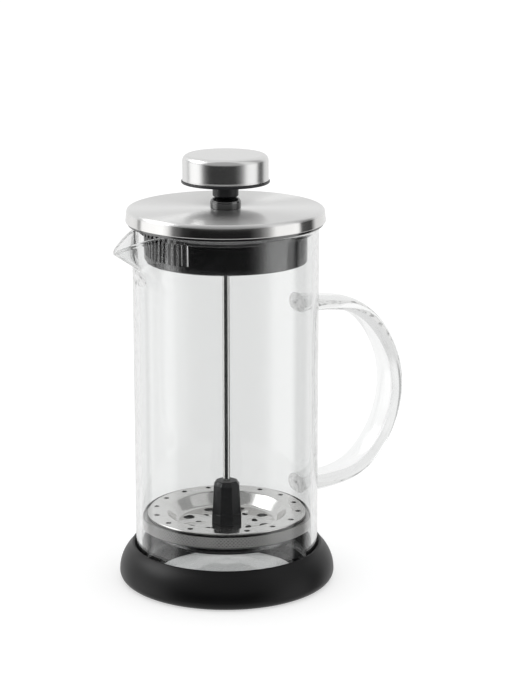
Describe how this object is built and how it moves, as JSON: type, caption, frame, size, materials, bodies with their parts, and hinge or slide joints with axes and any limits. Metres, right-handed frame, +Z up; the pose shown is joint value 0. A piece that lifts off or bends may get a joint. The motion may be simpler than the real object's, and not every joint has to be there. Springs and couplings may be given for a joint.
{
  "type": "french press",
  "caption": "French press with a spouted glass beaker, fused glass handle, black foot ring, flat steel lid and a knobbed plunger carrying a sprung mesh strainer.",
  "frame": {"origin": "on the beaker's axis, in the plane of the foot's resting face", "axes": "+Z up along the rod, +X towards the handle, -X towards the spout"},
  "size_m": [0.1374, 0.0888, 0.1769],
  "materials": {
    "foot_plastic": "soft matte black",
    "glass": "clear, fire polished",
    "brushed_steel": "fine circular brushing",
    "black_plastic": "glossy black",
    "polished_steel": "polished stainless steel",
    "steel_mesh": "fine woven wire",
    "brass": "turned"
  },
  "bodies": {
    "foot": {"base_foot": "foot_plastic"},
    "vessel": {"glass_beaker": "glass", "glass_handle": "glass"},
    "guide": {"lid_bushing": "black_plastic", "bushing_nut": "black_plastic"},
    "lid": {"lid_cover": "brushed_steel", "lid_liner": "black_plastic"},
    "rod": {"plunger_rod": "polished_steel"},
    "plunger": {"knob_cap": "brushed_steel", "knob_core": "black_plastic", "knob_insert": "brass", "filter_hub": "black_plastic", "filter_stud": "polished_steel", "strainer_disc": "polished_steel", "edge_spring": "polished_steel", "mesh_screen": "steel_mesh", "cross_plate": "black_plastic", "plate_nut": "polished_steel"}
  },
  "joints": [
    {"name": "vessel_pull", "type": "slide", "parent": "foot", "child": "vessel", "axis": [0, 0, 1], "range_m": [0, 0.03]},
    {"name": "lid_lift", "type": "slide", "parent": "vessel", "child": "guide", "axis": [0, 0, 1], "range_m": [0, 0.14]},
    {"name": "lid_turn", "type": "hinge", "parent": "guide", "child": "lid", "pos_m": [0, 0, 0.15], "axis": [0, 0, 1], "continuous": true},
    {"name": "plunge", "type": "slide", "parent": "guide", "child": "rod", "axis": [0, 0, 1], "range_m": [0, 0.1048]},
    {"name": "plunger_turn", "type": "hinge", "parent": "rod", "child": "plunger", "pos_m": [0, 0, 0.1], "axis": [0, 0, 1], "continuous": true}
  ]
}
